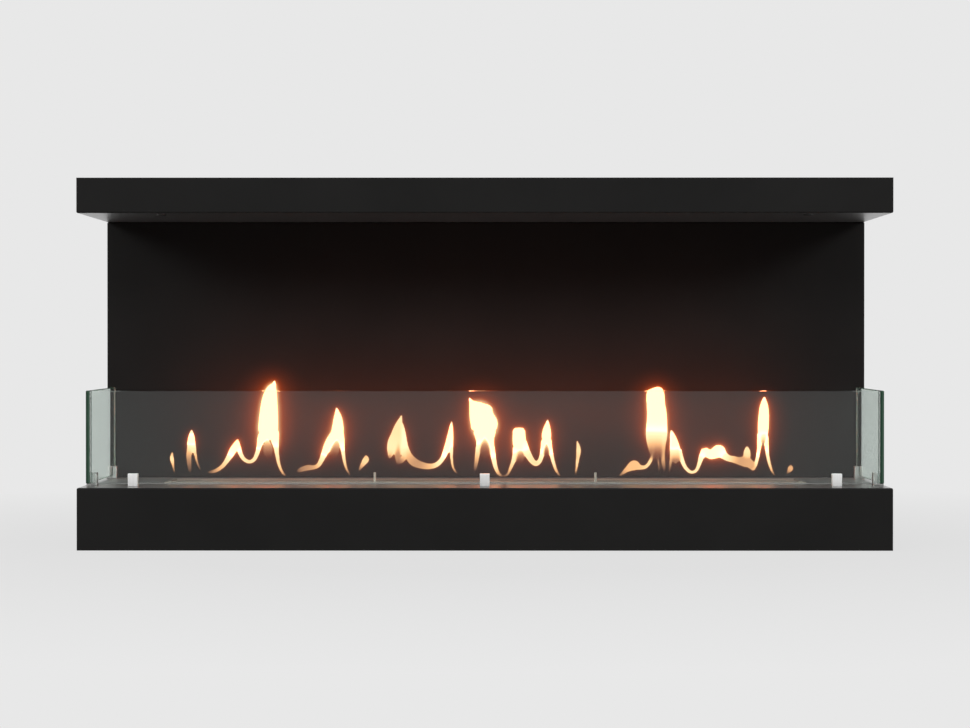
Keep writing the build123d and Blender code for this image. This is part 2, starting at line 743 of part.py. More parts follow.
# Shutter: a thin plate that slides over the slot to put the fire out
with BuildPart() as shutter:
    with BuildSketch(Plane.XY.offset(shutter_z)):
        with Locations((0, (shutter_front_y + shutter_rear_y) / 2)):
            RectangleRounded(shutter_length, shutter_width, shutter_corner)
        with Locations((0, pin_y)):
            with GridLocations(pin_pitch, 0, 2, 1):
                Circle(pin_tail_radius + hole_gap, mode=Mode.SUBTRACT)
    extrude(amount=shutter_sheet)
shutter.part.label = "shutter"
export_step(shutter.part, "parts/shutter.step")

# Shutter pins: riveted through the plate, caught by the closing hook
with BuildPart() as shutter_pins:
    with BuildSketch(Plane.XY.offset(shutter_top_z)):
        with Locations((0, pin_y)):
            with GridLocations(pin_pitch, 0, 2, 1):
                Circle(pin_radius)
    extrude(amount=pin_height)
    fillet(shutter_pins.edges().group_by(Axis.Z)[-1], pin_round)
    with BuildSketch(Plane.XY.offset(shutter_top_z)):
        with Locations((0, pin_y)):
            with GridLocations(pin_pitch, 0, 2, 1):
                Circle(pin_tail_radius)
    extrude(amount=-shutter_sheet)
shutter_pins.part.label = "shutter_pins"
export_step(shutter_pins.part, "parts/shutter_pins.step")

# Shutter guides: bent strips over the shutter's ends, with a stop at each end of the travel
guide_start_y = shutter_front_y - guide_gap - guide_sheet
guide_end_y = shutter_rear_y + shutter_travel + guide_gap + guide_sheet
guide_length = guide_end_y - guide_start_y
guide_web_x = shutter_length / 2 + guide_gap
guide_lip_z = shutter_top_z + guide_gap
for side, node in ((-1, "shutter_guide_left"), (1, "shutter_guide_right")):
    with BuildPart() as shutter_guide:
        with BuildSketch(Plane.XZ.offset(-guide_start_y)):
            with Locations((side * (guide_web_x + guide_sheet / 2), burner_top_z)):
                Rectangle(
                    guide_sheet,
                    guide_lip_z + guide_sheet - burner_top_z,
                    align=(Align.CENTER, Align.MIN),
                )
            with Locations((side * (guide_web_x + guide_sheet + guide_foot / 2), burner_top_z)):
                Rectangle(guide_foot, guide_sheet, align=(Align.CENTER, Align.MIN))
            with Locations((side * (guide_web_x - guide_lip / 2), guide_lip_z)):
                Rectangle(guide_lip, guide_sheet, align=(Align.CENTER, Align.MIN))
        extrude(amount=-guide_length)
        with BuildSketch(Plane.XY.offset(burner_top_z)):
            with Locations((side * (guide_web_x - guide_lip / 2), (guide_start_y + guide_end_y) / 2)):
                with GridLocations(0, guide_length - guide_sheet, 1, 2):
                    Rectangle(guide_lip, guide_sheet)
        extrude(amount=guide_lip_z - burner_top_z)
    shutter_guide.part.label = node
    export_step(shutter_guide.part, f"parts/{node}.step")
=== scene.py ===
import json
import math

import bpy
import numpy as np
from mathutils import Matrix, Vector


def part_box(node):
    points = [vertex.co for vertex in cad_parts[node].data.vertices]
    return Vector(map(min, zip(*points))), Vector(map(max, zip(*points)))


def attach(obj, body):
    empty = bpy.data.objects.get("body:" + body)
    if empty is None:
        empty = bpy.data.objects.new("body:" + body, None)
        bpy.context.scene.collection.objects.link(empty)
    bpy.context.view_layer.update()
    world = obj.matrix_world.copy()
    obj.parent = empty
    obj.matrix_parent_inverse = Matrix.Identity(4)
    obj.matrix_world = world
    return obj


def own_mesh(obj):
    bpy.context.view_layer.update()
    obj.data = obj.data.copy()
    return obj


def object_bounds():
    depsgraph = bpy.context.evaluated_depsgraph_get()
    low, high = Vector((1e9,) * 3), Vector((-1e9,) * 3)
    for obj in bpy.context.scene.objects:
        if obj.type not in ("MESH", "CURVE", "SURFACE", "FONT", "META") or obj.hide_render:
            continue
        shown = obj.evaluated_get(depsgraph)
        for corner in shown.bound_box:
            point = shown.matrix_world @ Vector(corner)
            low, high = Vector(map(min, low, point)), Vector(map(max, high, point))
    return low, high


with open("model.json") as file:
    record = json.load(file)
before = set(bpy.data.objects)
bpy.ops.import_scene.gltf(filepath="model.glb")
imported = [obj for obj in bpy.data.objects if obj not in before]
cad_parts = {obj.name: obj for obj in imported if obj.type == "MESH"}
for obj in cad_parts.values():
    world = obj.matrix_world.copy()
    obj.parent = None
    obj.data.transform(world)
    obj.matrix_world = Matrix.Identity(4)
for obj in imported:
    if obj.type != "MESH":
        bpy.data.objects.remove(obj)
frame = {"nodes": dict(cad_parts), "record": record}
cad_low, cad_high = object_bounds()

# The photograph's frame, in its own pixels
PHOTO_SIZE = (970, 728)
VANISHING_POINT = (499.0, 340.0)
CASING_LEFT = 76.0
CASING_RIGHT = 893.2
CASING_BOTTOM = 550.8

# Distance from the camera to the casing's front in metres, and the camera's sensor in millimetres
CAMERA_DISTANCE = 4.413
SENSOR_WIDTH = 36.0

# A pixel's size at the casing's front, and the camera, worked out from the frame
PIXEL = (cad_high.x - cad_low.x) / (CASING_RIGHT - CASING_LEFT)
CASING_MIDDLE = (CASING_LEFT + CASING_RIGHT) / 2
CAMERA = Vector((
    (VANISHING_POINT[0] - CASING_MIDDLE) * PIXEL,
    cad_low.y - CAMERA_DISTANCE,
    cad_low.z + (CASING_BOTTOM - VANISHING_POINT[1]) * PIXEL,
))
AIM = Vector((
    (PHOTO_SIZE[0] / 2 - CASING_MIDDLE) * PIXEL,
    cad_low.y,
    cad_low.z + (CASING_BOTTOM - PHOTO_SIZE[1] / 2) * PIXEL,
))

# The right pane's thickness and middle. The left one mirrors it.
PANE_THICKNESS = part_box("right_glass")[1].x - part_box("right_glass")[0].x
PANE_MIDDLE_X = (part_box("right_glass")[0].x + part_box("right_glass")[1].x) / 2

# Refractive index of the front pane, and of the side panes, which is lower so that the room's mirror
# image doesn't hide what stands behind them
FRONT_PANE_INDEX = 1.47
SIDE_PANE_INDEX = 1.11

# The least share of a face's normal at which the face looks one way: partly, mostly or squarely
PARTLY = 0.3
MOSTLY = 0.5
SQUARELY = 0.9

# The span in which a noise mostly stays, and that of brush lines mixed with clouds
NOISE_SPAN = (0.3, 0.7)
STREAK_SPAN = (0.25, 0.75)

# Brush lines: the stretch of the noise for each axis, which is long along one of them
LENGTHWISE = (0.05, 1, 1)
UPRIGHT = (1, 1, 0.05)

# The openings' boxes from the record, the flame slot's among them. The flames stand in its middle.
OPENINGS = {opening["name"]: opening["box_m"] for opening in frame["record"]["physics"]["openings"]}
SLOT_BOX = OPENINGS["flame_slot"]
SLOT_Y = (SLOT_BOX[0][1] + SLOT_BOX[1][1]) / 2
SLOT_FLOOR_Z = SLOT_BOX[0][2]
FLAME_PIXEL = PIXEL * (SLOT_Y - CAMERA.y) / CAMERA_DISTANCE

# The flames' bodies: depth as a share of half width, most depth, least half width, step along a
# stroke, sides round it, and the boxes in which the strokes become one surface
FLAME_DEPTH_SHARE = 0.62
FLAME_MOST_DEPTH = 0.011
FLAME_LEAST_WIDTH = 0.0006
FLAME_STEP = 0.0016
FLAME_SIDES = 14
FLAME_VOXEL = 0.0013

# The fire's lean to the rear: its size, the height over which it builds up, the most of that height
# that counts, and its waves as (share, turn for each metre across, for each metre up, start)
FLAME_SWAY = 0.005
SWAY_HEIGHT = 0.12
SWAY_MOST_SHARE = 1.2
SWAY_WAVES = [(1.0, 23, 31, 0.0), (0.6, 61, -44, 1.3)]

# How fast a stroke's heat gives way to its neighbours', and how many points are worked out at a time
HEAT_FALL = 3
HEAT_BLOCK = 4000

# The core's look by its heat: colours, shares of its strength, and opacity
FIRE_STRENGTH = 14.0
FIRE_COLOURS = [
    (0.20, 1.0, 0.50, 0.28),
    (0.60, 1.0, 0.52, 0.22),
    (0.80, 1.0, 0.60, 0.30),
    (0.90, 1.0, 0.64, 0.36),
    (0.95, 1.0, 0.52, 0.30),
    (1.00, 1.0, 0.24, 0.10),
]
FIRE_STRENGTH_SHARES = [
    (0.00, 0.015),
    (0.20, 0.033),
    (0.40, 0.054),
    (0.60, 0.095),
    (0.80, 0.135),
    (0.90, 0.165),
    (0.95, 0.260),
    (1.00, 1.000),
]
FIRE_OPACITY = [(0.08, 0.0), (0.25, 0.22), (0.5, 0.62), (0.75, 0.95), (0.85, 1.0)]

# The soft skin round the core: distance, voxel, colour, strength, and opacity by the heat
SKIN_REACH = 0.0009
SKIN_VOXEL = 0.0014
SKIN_COLOUR = (1.0, 0.40, 0.12, 1)
SKIN_STRENGTH = 0.462
SKIN_OPACITY = [(0.1, 0.0), (0.5, 0.135), (0.85, 0.315), (1.0, 0.45)]

# The haze round the flames, a painted glow: its fine grid, the stride of the sheet's points in it, its
# reach beyond the flames, the border for its spread, (size, weight) of each part of the spread, the
# least haze that still gets a face, and its foot with a clearance over the burner
HAZE_STEP = 0.0011
HAZE_STRIDE = 2
HAZE_REACH = 0.042
HAZE_BORDER = 3 * HAZE_REACH
HAZE_SPREAD = [(0.00184, 1.45), (0.0077, 0.48), (0.0138, 0.21), (0.046, 0.11)]
HAZE_LEAST = 0.012
HAZE_CLEARANCE = 0.0005
HAZE_FOOT_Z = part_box("burner_top")[1].z + HAZE_CLEARANCE

# The half width at which a stroke hazes in full, in the photograph's pixels, and the least and most
# that its share of this width can be
HAZE_FULL_WIDTH = 6
HAZE_WIDTH_SHARES = (0.1, 2)

# How strongly each flame glares, by the photograph's x
GLARE = [
    (172, 0.5), (191, 0.6), (235, 1.05), (255, 1.3), (285, 1.4), (335, 1.35), (350, 1.0), (380, 0.8),
    (388, 2.2), (405, 2.2), (411, 0.9), (445, 1.05), (470, 1.05), (485, 0.9), (545, 1.1), (600, 0.85),
    (656, 0.8), (720, 0.95), (763, 1.0),
]

# Light levels: the background as the camera sees it and as it shows through glass, the room behind
# the object and in front of it as mirrored, and the fill from below and from above
BACKGROUND = 0.807
BEHIND_GLASS = 1.0
ROOM_BEHIND = 1.0
ROOM_IN_FRONT = 0.50
ROOM_FILL_LOW = 0.10
ROOM_FILL_HIGH = 0.5

# The span of heights over which the fill changes, and of depths between the room's front and rear
FILL_SPAN = (-0.1, 0.3)
DEPTH_SPAN = (-0.6, 0.3)

# The floor: half its width, its drop below the object and its tone, and the span of distances from
# the middle over which it turns flat, with its share of flat tone at both ends
FLOOR_REACH = 2.2
FLOOR_DROP = 0.0005
FLOOR_TONE = 0.24
FLOOR_SPAN = (0.6, 1.8)
FLOOR_FLAT_SHARES = (0.88, 1.0)

# The lamps: name, place, aim, size, power and colour. The last two stand in for the fire's light on
# the back panel and on the burner's steel.
WHITE = (1, 1, 1)
FIRE_LIGHT = (1.0, 0.13, 0.02)
STEEL_LIGHT = (1.0, 0.40, 0.06)
OBJECT_MIDDLE = (0, 0, (cad_low.z + cad_high.z) / 2)
LAMPS = [
    ("softbox_left", (-3.0, -3.6, 1.8), OBJECT_MIDDLE, (2.2, 1.0), 90, WHITE),
    ("softbox_right", (3.2, -3.5, 1.9), OBJECT_MIDDLE, (2.2, 1.0), 90, WHITE),
    ("softbox_top", (0, -1.6, 3.0), OBJECT_MIDDLE, (3.0, 1.4), 40, WHITE),
    ("fire_glow", (0, 0.06, 0.19), (0, 1, 0.19), (0.88, 0.03), 1.35, FIRE_LIGHT),
    ("fire_on_steel", (0, SLOT_Y, 0.16), (0, SLOT_Y, 0), (0.86, 0.03), 0.10, STEEL_LIGHT),
]


def node(tree, kind, inputs=None, **settings):
    """A new shader node with its settings, and its inputs linked or set."""
    made = tree.nodes.new("ShaderNode" + kind)
    for key, value in settings.items():
        setattr(made, key, value)
    for key, value in (inputs or {}).items():
        if isinstance(value, bpy.types.NodeSocket):
            tree.links.new(value, made.inputs[key])
        else:
            made.inputs[key].default_value = value
    return made


def new_material(name):
    material = bpy.data.materials.new(name)
    material.use_nodes = True
    material.node_tree.nodes.clear()
    return material


def finish_material(material, surface, volume=None):
    tree = material.node_tree
    output = node(tree, "OutputMaterial", {"Surface": surface})
    if volume:
        tree.links.new(volume, output.inputs["Volume"])
    return material


def stretched(tree, scale):
    """Object coordinates, stretched by a scale for each axis."""
    coordinates = node(tree, "TexCoord").outputs["Object"]
    return node(tree, "Mapping", {"Vector": coordinates, "Scale": scale}).outputs["Vector"]


def noise(tree, scale, detail=3.0, axes=(1, 1, 1)):
    place = stretched(tree, axes)
    return node(tree, "TexNoise", {"Vector": place, "Scale": scale, "Detail": detail}).outputs["Fac"]


def colour_ramp(tree, factor, stops):
    """A colour ramp over a factor, with (position, red, green, blue) stops."""
    made = node(tree, "ValToRGB", {"Fac": factor})
    band = made.color_ramp
    while len(band.elements) < len(stops):
        band.elements.new(1.0)
    for element, (position, red, green, blue) in zip(band.elements, stops):
        element.position = position
        element.color = (red, green, blue, 1)
    return made.outputs["Color"]


def level_ramp(tree, factor, stops):
    """A ramp over a factor, with (position, level) stops."""
    return colour_ramp(tree, factor, [(position, level, level, level) for position, level in stops])


def remap(tree, value, low, high, to_low, to_high):
    limits = {"Value": value, "From Min": low, "From Max": high, "To Min": to_low, "To Max": to_high}
    return node(tree, "MapRange", limits).outputs["Result"]


def tinted(tree, factor, dark, light, span=NOISE_SPAN):
    """A colour that goes from dark to light over a span of the factor."""
    return colour_ramp(tree, factor, [(span[0], *dark), (span[1], *light)])


def varied(tree, factor, low, high, span=NOISE_SPAN):
    """A number that goes from low to high over a span of the factor."""
    return remap(tree, factor, *span, low, high)


def bump(tree, height, strength, distance):
    shape = {"Height": height, "Strength": strength, "Distance": distance}
    return node(tree, "Bump", shape).outputs["Normal"]


def powder_coat():
    """Satin black powder coat: a fine orange peel, matt face on and glossy along the surface."""
    material = new_material("powder_coat")
    tree = material.node_tree
    tint = tinted(tree, noise(tree, 7, 4), (0.0100, 0.0098, 0.0096), (0.0120, 0.0117, 0.0114))
    gloss = varied(tree, noise(tree, 55, 5), 0.42, 0.50)
    peel = bump(tree, noise(tree, 750, 2), strength=0.04, distance=0.0002)
    facing = node(tree, "LayerWeight", {"Blend": 0.5}).outputs["Facing"]
    along = remap(tree, facing, 0.70, 0.95, 0.0, 1.0)
    shader = node(tree, "BsdfPrincipled", {
        "Base Color": tint,
        "Roughness": gloss,
        "Specular IOR Level": 0.05,
        "Coat Weight": along,
        "Coat Roughness": 0.31,
        "Sheen Weight": 0.12,
        "Sheen Roughness": 0.3,
        "Normal": peel,
    })
    return finish_material(material, shader.outputs[0])


def black_screw_finish():
    material = new_material("black_oxide")
    tree = material.node_tree
    tint = tinted(tree, noise(tree, 300), (0.006, 0.006, 0.007), (0.014, 0.013, 0.013))
    gloss = varied(tree, noise(tree, 900), 0.3, 0.5)
    shader = node(tree, "BsdfPrincipled", {"Base Color": tint, "Roughness": gloss, "Metallic": 0.4})
    return finish_material(material, shader.outputs[0])


def brushed_steel(name, dark, light, rough, axes, streaks=1.0, metallic=1.0):
    """Metal with brush lines along one axis, from (red, green, blue) dark to light."""
    material = new_material(name)
    tree = material.node_tree
    lines = noise(tree, 260 * streaks, 4, axes)
    mixed = node(tree, "Mix", {"Factor": 0.25, "A": lines, "B": noise(tree, 9)}).outputs["Result"]
    shader = node(tree, "BsdfPrincipled", {
        "Base Color": tinted(tree, mixed, dark, light, STREAK_SPAN),
        "Metallic": metallic,
        "Roughness": varied(tree, mixed, rough - 0.05, rough + 0.07, STREAK_SPAN),
        "Normal": bump(tree, lines, strength=0.09, distance=0.0001),
    })
    return finish_material(material, shader.outputs[0])


def galvanised_sheet():
    """Zinc-coated sheet with its crystal pattern."""
    material = new_material("galvanised")
    tree = material.node_tree
    crystals = node(tree, "TexVoronoi", {"Vector": stretched(tree, (1, 1, 1)), "Scale": 70.0})
    shade = remap(tree, crystals.outputs["Color"], 0, 1, 0, 1)
    shader = node(tree, "BsdfPrincipled", {
        "Base Color": tinted(tree, shade, (0.40, 0.42, 0.44), (0.58, 0.60, 0.61), (0, 1)),
        "Metallic": 1.0,
        "Roughness": varied(tree, shade, 0.34, 0.52, (0, 1)),
        "Normal": bump(tree, noise(tree, 420), strength=0.05, distance=0.0001),
    })
    return finish_material(material, shader.outputs[0])


def zinc_plating():
    material = new_material("zinc_plating")
    tree = material.node_tree
    tint = tinted(tree, noise(tree, 160), (0.55, 0.55, 0.50), (0.66, 0.67, 0.68))
    gloss = varied(tree, noise(tree, 600), 0.25, 0.4)
    shader = node(tree, "BsdfPrincipled", {"Base Color": tint, "Metallic": 1.0, "Roughness": gloss})
    return finish_material(material, shader.outputs[0])


def clear_glass(name, index):
    """Tempered float glass: clear through the pane, green along it. Lamps shine through it."""
    material = new_material(name)
    tree = material.node_tree
    body = node(tree, "BsdfPrincipled", {
        "Base Color": (1, 1, 1, 1),
        "Roughness": 0.0,
        "IOR": index,
        "Transmission Weight": 1.0,
    })
    shade = node(tree, "BsdfTransparent", {"Color": (0.96, 0.98, 0.97, 1)})
    lamp = node(tree, "LightPath").outputs["Is Shadow Ray"]
    mixed = node(tree, "MixShader", {0: lamp, 1: body.outputs[0], 2: shade.outputs[0]})
    tint = node(tree, "VolumeAbsorption", {"Color": (0.16, 0.58, 0.34, 1), "Density": 12.0})
    return finish_material(material, mixed.outputs[0], tint.outputs[0])


def glass_edge():
    """The side panes' polished edge, where the green of the glass shows, darker towards the left as
    painted shade.
    """
    material = new_material("glass_edge")
    tree = material.node_tree
    across = node(tree, "SeparateXYZ", {0: node(tree, "TexCoord").outputs["Object"]}).outputs["X"]
    side = node(tree, "Math", {0: across}, operation="SIGN").outputs[0]
    middle = node(tree, "Math", {0: side, 1: PANE_MIDDLE_X}, operation="MULTIPLY").outputs[0]
    offset = node(tree, "Math", {0: across, 1: middle}, operation="SUBTRACT").outputs[0]
    # Painted shade: the edge goes darker towards the left of its thickness, lighter towards the right
    share = remap(tree, offset, -PANE_THICKNESS / 2, PANE_THICKNESS / 2, 0.0, 1.0)
    mottled_shade = node(tree, "Mix", {"Factor": 0.15, "A": share, "B": noise(tree, 40)}).outputs["Result"]
    shader = node(tree, "BsdfPrincipled", {
        "Base Color": tinted(tree, mottled_shade, (0.009, 0.034, 0.018), (0.042, 0.082, 0.056)),
        "Roughness": 0.25,
        "Specular IOR Level": 0.12,
        "Normal": bump(tree, noise(tree, 900, 2), strength=0.08, distance=0.0001),
    })
    return finish_material(material, shader.outputs[0])


def ground_arris():
    """The ground arris of the glass, frosted by the wheel, which catches the light."""
    material = new_material("ground_arris")
    tree = material.node_tree
    tint = tinted(tree, noise(tree, 120), (0.70, 0.72, 0.70), (0.82, 0.84, 0.82))
    gloss = varied(tree, noise(tree, 400, 2), 0.30, 0.42)
    shader = node(tree, "BsdfPrincipled", {"Base Color": tint, "Roughness": gloss})
    return finish_material(material, shader.outputs[0])


def clear_arris():
    """The front pane's upper and end edges, polished until they hardly show."""
    material = new_material("clear_arris")
    tree = material.node_tree
    shader = node(tree, "BsdfPrincipled", {
        "Base Color": (0.80, 0.85, 0.82, 1),
        "Roughness": varied(tree, noise(tree, 400, 2), 0.08, 0.14),
        "IOR": 1.05,
        "Transmission Weight": 1.0,
    })
    return finish_material(material, shader.outputs[0])


def clear_silicone():
    material = new_material("clear_silicone")
    tree = material.node_tree
    shader = node(tree, "BsdfPrincipled", {
        "Base Color": tinted(tree, noise(tree, 350), (0.55, 0.57, 0.57), (0.68, 0.70, 0.70)),
        "Roughness": 0.35,
        "IOR": 1.41,
        "Transmission Weight": 0.6,
    })
    return finish_material(material, shader.outputs[0])


def ceramic_wool():
    material = new_material("ceramic_wool")
    tree = material.node_tree
    fibres = noise(tree, 240, 6, (1, 0.35, 1))
    shader = node(tree, "BsdfPrincipled", {
        "Base Color": tinted(tree, fibres, (0.62, 0.60, 0.56), (0.86, 0.85, 0.82)),
        "Roughness": 0.95,
        "Specular IOR Level": 0.1,
        "Normal": bump(tree, fibres, strength=0.7, distance=0.0015),
    })
    return finish_material(material, shader.outputs[0])


def burner_finish():
    return brushed_steel(
        "burner_steel", (0.53, 0.485, 0.43), (0.71, 0.655, 0.58), 0.40, LENGTHWISE, metallic=0.65)


def shutter_finish():
    return brushed_steel(
        "shutter_steel", (0.37, 0.34, 0.30), (0.53, 0.485, 0.43), 0.30, LENGTHWISE, metallic=0.85)


def shaded_cut_finish():
    """The cut edges of the burner's sheets, in a darker steel as painted shade in the slot and along the
    sheets' fronts.
    """
    return brushed_steel("cut_steel_painted_shade", (0.20, 0.19, 0.18), (0.32, 0.31, 0.29), 0.45, LENGTHWISE)


def clamp_finish():
    return brushed_steel(
        "clamp_steel", (0.78, 0.78, 0.77), (0.90, 0.90, 0.89), 0.42, UPRIGHT, streaks=2.0)


# Painted shade: a darker copy of the clamps' steel, for the side clamps
def shaded_clamp_finish():
    return brushed_steel(
        "clamp_steel_painted_shade", (0.36, 0.36, 0.35), (0.48, 0.48, 0.47), 0.42, UPRIGHT, streaks=2.0)


def along_edge(normal):
    """A side pane's narrow faces, and its front arrises."""
    return abs(normal.x) < MOSTLY or normal.y < -MOSTLY


def facing_front(normal):
    return normal.y < -MOSTLY


def rear_arris(normal):
    """A side pane's upright arrises at the rear."""
    return MOSTLY < abs(normal.x) < SQUARELY and normal.y > MOSTLY


def open_edge(normal):
    """The front pane's upper and end edges, with their arrises."""
    return normal.z > PARTLY or abs(normal.x) > PARTLY


def low_arris(normal):
    """The front pane's lower arris, on the viewer's side."""
    return normal.z < -PARTLY and normal.y < -PARTLY


def finish_faces(name, material, chosen):
    """Gives a node's faces a finish of their own where chosen agrees to their normal."""
    mesh = frame["nodes"][name].data
    mesh.materials.append(material)
    for face in mesh.polygons:
        if chosen(face.normal):
            face.material_index = len(mesh.materials) - 1


def dress_nodes():
    """Gives every CAD node its material."""
    finishes = {
        "black_casing": powder_coat(),
        "black_screws": black_screw_finish(),
        "galvanised_sheet": galvanised_sheet(),
        "zinc_fasteners": zinc_plating(),
        "clear_glass": clear_glass("clear_glass", FRONT_PANE_INDEX),
        "clear_silicone": clear_silicone(),
        "ceramic_wool": ceramic_wool(),
        "burner_steel": burner_finish(),
        "shutter_steel": shutter_finish(),
        "clamp_steel": clamp_finish(),
    }
    for entry in frame["record"]["subparts"]:
        mesh = frame["nodes"][entry["node"]].data
        mesh.materials.clear()
        mesh.materials.append(finishes[entry["material_slot"]])
    # The side clamps take the darker copy of the clamps' steel as painted shade
    shaded_side_clamp = shaded_clamp_finish()
    for name in ("left_front", "left_rear", "right_front", "right_rear"):
        frame["nodes"][f"clamp_{name}"].data.materials[0] = shaded_side_clamp


def dress_edges():
    """Gives the panes the finishes of their edges, with painted shade on the side panes' edges, and the
    front edges of the burner's sheets a darker steel as painted shade.
    """
    side_glass = clear_glass("side_glass", SIDE_PANE_INDEX)
    edge = glass_edge()
    arris = ground_arris()
    for name in ("left_glass", "right_glass"):
        frame["nodes"][name].data.materials[0] = side_glass
        finish_faces(name, edge, along_edge)
        finish_faces(name, arris, rear_arris)
    finish_faces("front_glass", arris, low_arris)
    finish_faces("front_glass", clear_arris(), open_edge)
    # Painted shade: the burner's sheets get a darker steel on their front-facing edges
    cut = shaded_cut_finish()
    for name in ("burner_top", "shutter"):
        finish_faces(name, cut, facing_front)


